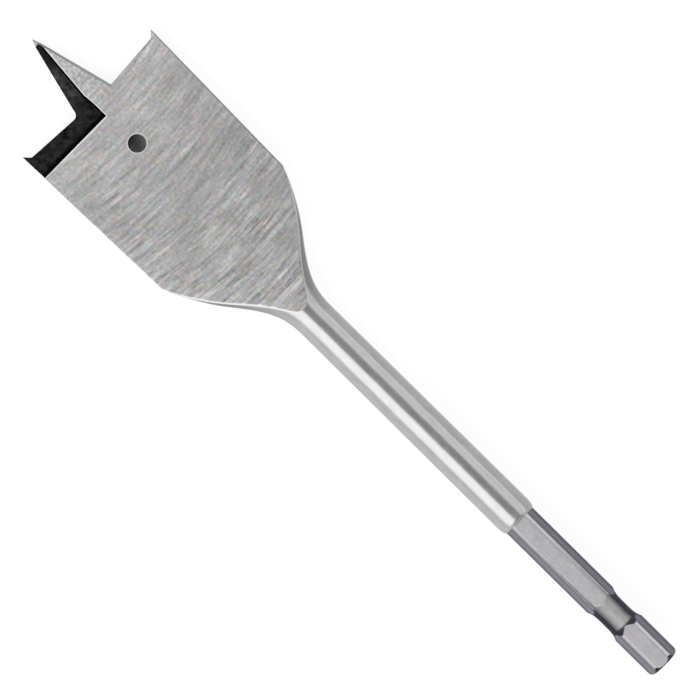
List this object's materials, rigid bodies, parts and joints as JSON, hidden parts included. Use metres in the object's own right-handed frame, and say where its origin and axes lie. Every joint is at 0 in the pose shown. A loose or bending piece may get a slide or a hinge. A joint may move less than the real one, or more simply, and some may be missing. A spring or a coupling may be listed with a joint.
{
  "type": "spade drill bit",
  "caption": "Flat spade bit for boring wide holes in wood, with a centre point, lips with outer spurs, a hang hole and a hex shank with a snap-in groove.",
  "frame": {"origin": "centre of the flat end face of the hex shank, on the bit's axis", "axes": "+X along the bit's axis from the shank's end to the tip of the point; +Z the outward normal of the upper blade face, the one the picture shows; +Y across the blade, towards the lip whose hollow is in that upper face"},
  "size_m": [0.1719, 0.035, 0.0082],
  "materials": {
    "ground_steel": "blade faces ground across the axis, with fine straight grinding lines",
    "turned_steel": "smooth satin round shaft, drawn and polished along its length",
    "shank_steel": "slightly darker, faintly violet hex shank, smooth on its flats",
    "blackened_steel": "matt black coat in the hollows behind the cutting edges"
  },
  "bodies": {
    "root": {"spade_bit": "ground_steel"}
  },
  "joints": []
}
